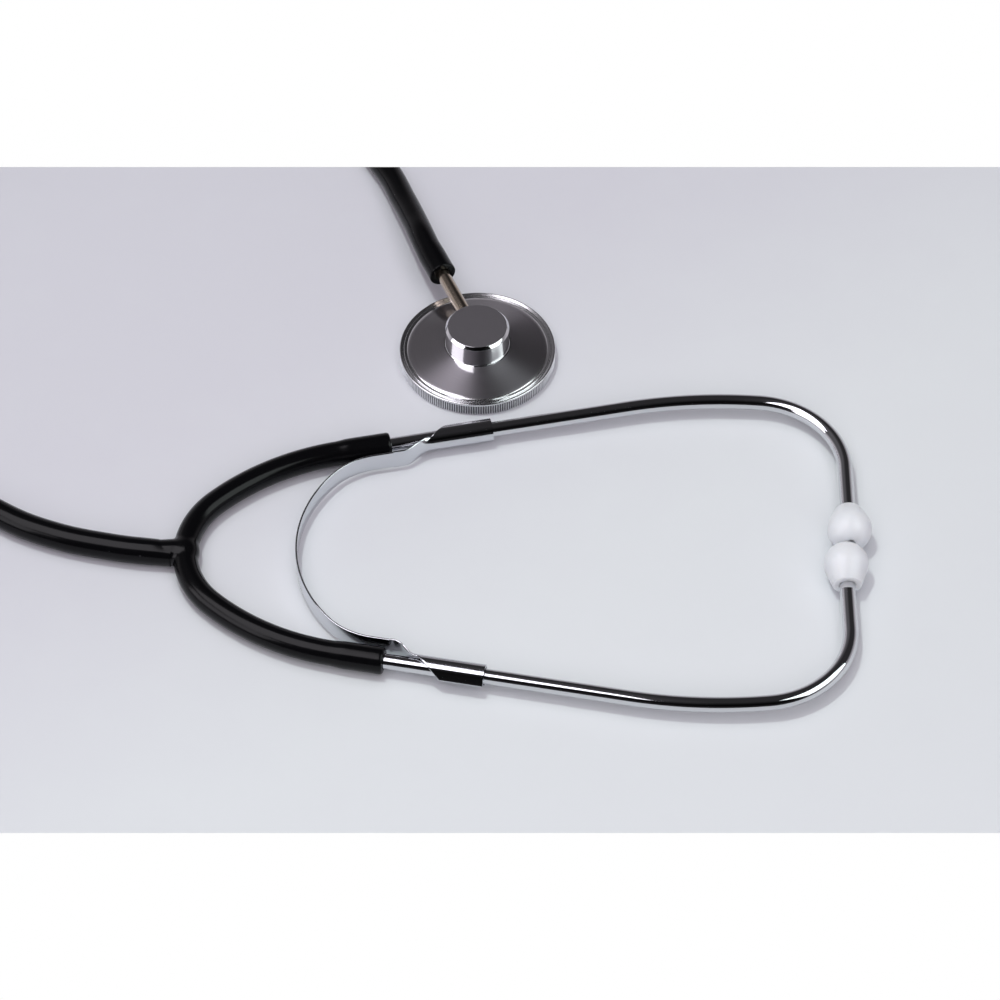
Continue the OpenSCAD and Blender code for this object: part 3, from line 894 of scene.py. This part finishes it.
disc = np.linspace((DISC_OUT, DISC_LOW), (DISC_IN, HUB_Z), 14)
hub = filleted([
    (DISC_IN, HUB_Z, 0), (HUB_R, HUB_Z, 0.25), (HUB_R, HUB_TOP - 0.85, 0.12),
    (HUB_R - 0.75, HUB_TOP, 0.12), (CROWN_R, HUB_TOP, 0)], 5)
crown = np.linspace((CROWN_R, HUB_TOP), (POLE_R, HUB_TOP), 8)
body_section = np.vstack([under, rim[1:], disc[1:], hub[1:], crown[1:]])
# The rim's own finish starts half way round its lower corner
finish = np.full(len(body_section) - 1, POLISHED)
start = len(under) + len(rim) - 2
finish[len(under) + 3:start] = ROLLED
finish[start:start + len(disc) - 1] = SATIN
finish[-len(crown):] = BLASTED
body_grid = spun(body_section, HEAD_SPINS)
poles = np.array([[0, 0, body_section[0, 1]], [0, 0, body_section[-1, 1]]])
body_verts = on_head(np.vstack([body_grid.reshape(-1, 3), poles]))
chestpiece = piece("chestpiece_turned", body_verts, with_poles(len(body_section), HEAD_SPINS), polished)
for metal in (satin, blasted, rim_metal):
    chestpiece.data.materials.append(metal)
by_face = np.repeat(np.r_[finish, POLISHED, BLASTED], HEAD_SPINS)
chestpiece.data.polygons.foreach_set("material_index", by_face.astype(np.int32))
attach(chestpiece, "chestpiece")
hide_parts("chestpiece_body")

# Stem: a plain tube from the hub into the hose
stem_path = Line(np.array([STEM_AT + STEM_IN * STEM_DIR, STEM_AT + STEM_OUT * STEM_DIR]))
stem_section = filleted([
    (0, STEM_BORE_R, 0), (0, STEM_R, 0.1), (stem_path.length, STEM_R, 0.25),
    (stem_path.length, STEM_BORE_R, 0)], 4)
STEM_SIDES = 48
stem = piece("stem_nickel", stand(tube(stem_path, stem_section[:, 0], stem_section[:, 1], STEM_SIDES)),
             [grid_faces(len(stem_section), STEM_SIDES, loop=True)], nickel)
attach(stem, "chestpiece")
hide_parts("stem")

# Diaphragm: a stiff flat sheet
SHEET_R = COLLAR_R - 0.05
SHEET_LOW = RING_LIP + 0.01
SHEET_TOP = COLLAR_Z - 0.01
SHEET_SPINS = 96
sheet_section = np.vstack([
    np.linspace((POLE_R, SHEET_LOW), (SHEET_R - 0.2, SHEET_LOW), 6),
    [(SHEET_R, RING_LIP + 0.1), (SHEET_R, COLLAR_Z - 0.1)],
    np.linspace((SHEET_R - 0.2, SHEET_TOP), (POLE_R, SHEET_TOP), 6)])
sheet_poles = np.array([[0, 0, SHEET_LOW], [0, 0, SHEET_TOP]])
sheet_verts = on_head(np.vstack([spun(sheet_section, SHEET_SPINS).reshape(-1, 3), sheet_poles]))
diaphragm = piece("diaphragm_sheet", sheet_verts, with_poles(len(sheet_section), SHEET_SPINS), membrane)
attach(diaphragm, "diaphragm")
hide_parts("diaphragm")

# Retaining ring: a lip under the diaphragm and a ribbed outside
ring_section = filleted([
    (COLLAR_R - 1.0, RING_LIP, 0), (COLLAR_R - 1.3, 0.3, 0.1), (COLLAR_R - 1.0, 0.0, 0.15),
    (HEAD_R - 0.45, 0.0, 0.15), (HEAD_R, 0.45, 0.1), (HEAD_R, RING_H - 0.3, 0.1),
    (HEAD_R - 0.25, RING_H, 0.1), (COLLAR_R + 0.1, RING_H, 0.1), (COLLAR_R + 0.1, RING_LIP, 0)], 3)


def ribs(angle, r):
    """Ribs on the outside: the radius falls between them on the straight part of the edge."""
    on_edge = ease(r, HEAD_R - 0.3, HEAD_R - 0.05)
    return -RIB_DEPTH * on_edge * np.abs(np.sin(RIB_COUNT * angle / 2))


RING_SPINS = RIB_COUNT * 8
ring = piece("retaining_ring_knurled", on_head(spun(ring_section, RING_SPINS, ribs)),
             [grid_faces(len(ring_section), RING_SPINS, loop=True)], polished)
on_edge = ring_section[:, 0] > HEAD_R - 0.2
ring.data.materials.append(knurled)
ring.data.polygons.foreach_set("material_index", np.repeat(on_edge, RING_SPINS).astype(np.int32))
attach(ring, "ring")
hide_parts("retaining_ring")

# Table, white margins of the picture, room and lamps
TABLE_HALF = 4.0


def flat_quad(name, corners, material):
    """One four-sided face that belongs to the stage."""
    mesh = bpy.data.meshes.new(name)
    mesh.from_pydata([tuple(c) for c in corners], [], [(0, 1, 2, 3)])
    mesh.materials.append(material)
    obj = bpy.data.objects.new(name, mesh)
    bpy.context.collection.objects.link(obj)
    return obj


def lacquered_board():
    """Pale lacquered board: a faint cloudiness of the lacquer, and painted light over it: a darker lilac
    at the far left that turns to a lighter, cooler white at the near right."""
    m, t, s = shader("lacquered_board", Roughness=0.55, Specular_IOR_Level=0.3)
    at = add(t, "ShaderNodeTexCoord")
    cloud = add(t, "ShaderNodeTexNoise", {"Vector": (at, "Object")}, Scale=per_metre(18), Detail=4.0)
    slope = add(t, "ShaderNodeVectorMath", {0: (at, "Object")}, operation="DOT_PRODUCT")
    slope.inputs[1].default_value = (0.8, -1.0, 0)
    painted_falloff = add(t, "ShaderNodeMapRange", {"Value": (slope, "Value")}, From_Min=-0.13, From_Max=0.07,
                interpolation_type="SMOOTHSTEP")
    veil = add(t, "ShaderNodeMapRange", {"Value": (cloud, "Fac")}, To_Min=-0.12, To_Max=0.12)
    tone = add(t, "ShaderNodeMath", {0: (painted_falloff, "Result"), 1: (veil, "Result")}, operation="ADD")
    shade = add(t, "ShaderNodeMix", {"Factor": (tone, "Value")}, data_type="RGBA")
    # painted light: A is the shaded far left of the board, B its brighter lit near right
    shade.inputs["A"].default_value = linear("D5D4DD")
    shade.inputs["B"].default_value = linear("E0E3E7")
    t.links.new(shade.outputs["Result"], s.inputs["Base Color"])
    return m


table_corners = [(TABLE_HALF * x, TABLE_HALF * y, 0) for x, y in ((-1, -1), (1, -1), (1, 1), (-1, 1))]
flat_quad("table", table_corners, lacquered_board())

paper = bpy.data.materials.new("white_margin")
paper.use_nodes = True
paper.node_tree.nodes.clear()
glow = add(paper.node_tree, "ShaderNodeEmission", Color=(1, 1, 1, 1), Strength=1.0)
add(paper.node_tree, "ShaderNodeOutputMaterial", {"Surface": (glow, "Emission")})
MARGIN_NEAR = 0.06
MARGIN_TOP = 167
MARGIN_LOW = 833
BEYOND = 60


def margin(name, row_a, row_b):
    """White card just in front of the lens that covers the picture's rows from row_a to row_b."""
    turn = camera.rotation_euler.to_matrix()
    scale = MARGIN_NEAR / FOCAL_PX
    edge = PICTURE / 2 + BEYOND
    corners = []
    for x, row in ((-edge, row_a), (edge, row_a), (edge, row_b), (-edge, row_b)):
        in_camera = Vector((x * scale, (PICTURE / 2 - row) * scale, -MARGIN_NEAR))
        corners.append(camera.location + turn @ in_camera)
    card = flat_quad(name, corners, paper)
    for ray in ("diffuse", "glossy", "transmission", "volume_scatter", "shadow"):
        setattr(card, "visible_" + ray, False)


margin("margin_top", -BEYOND, MARGIN_TOP)
margin("margin_low", MARGIN_LOW, PICTURE + BEYOND)

# The room: bright low down on its far side, nearly dark above and on the near side, a glimmer on the left
room = bpy.data.worlds.new("room")
bpy.context.scene.world = room
room.use_nodes = True
rt = room.node_tree
rt.nodes.clear()
ray = add(rt, "ShaderNodeTexCoord")
split = add(rt, "ShaderNodeSeparateXYZ", {"Vector": (ray, "Generated")})
low = add(rt, "ShaderNodeMapRange", {"Value": (split, "Z")}, From_Min=0.1, From_Max=0.5,
          To_Min=0.65, To_Max=0.035)
far = add(rt, "ShaderNodeMapRange", {"Value": (split, "Y")}, From_Min=-0.75, From_Max=-0.15,
          To_Min=0.05, To_Max=1.0)
left = add(rt, "ShaderNodeMapRange", {"Value": (split, "X")}, From_Min=-0.35, From_Max=0.02,
           To_Min=0.1, To_Max=0.0)
both = add(rt, "ShaderNodeMath", {0: (low, "Result"), 1: (left, "Result")}, operation="ADD")
glim = add(rt, "ShaderNodeMath", {0: (both, "Value"), 1: (far, "Result")}, operation="MULTIPLY")
wall = add(rt, "ShaderNodeBackground", {"Strength": (glim, "Value")}, Color=linear("F4EFF6"))
add(rt, "ShaderNodeOutputWorld", {"Surface": (wall, "Background")})


def lamp(name, at, size, watts, colour, aim=(0, 0.03, 0), shows=True, lights=True):
    """Soft box that faces a point of the table.  One that doesn't show isn't mirrored by shiny surfaces;
    one that doesn't light only shows there."""
    data = bpy.data.lights.new(name, "AREA")
    data.shape = "RECTANGLE"
    data.size, data.size_y = size
    data.energy = watts
    data.color = linear(colour)[:3]
    obj = bpy.data.objects.new(name, data)
    bpy.context.collection.objects.link(obj)
    obj.location = at
    way = Vector(aim) - obj.location
    obj.rotation_euler = way.to_track_quat("-Z", "Y").to_euler()
    obj.visible_glossy = shows
    obj.visible_diffuse = lights
    return obj


# Panels that only show in the metal and the vinyl; then a wide box and a fill that only light, and a
# small key that gives the shadows their edge.
lamp("left_panel", (-0.91, -0.25, 1.5), (1.38, 1.5), 20, "FCF8FF", aim=(-0.91, -0.25, 0), lights=False)
lamp("left_wall", (-1.5, -0.5, 0.75), (1.4, 0.8), 9, "FCF8FF", lights=False)
lamp("right_panel", (0.66, -0.2, 0.62), (0.75, 0.7), 4.4, "F6FFFD", lights=False)
lamp("overhead_box", (-0.3, 0.15, 2.0), (2.6, 2.6), 24, "FFFAFF", aim=(-0.3, 0.15, 0), shows=False)
lamp("key_spot", (-0.3, 0.1, 1.5), (0.07, 0.07), 6.2, "F2FFF6", shows=False)
lamp("near_fill", (0.15, -1.1, 1.0), (1.8, 1.2), 11, "FFFAFF", shows=False)
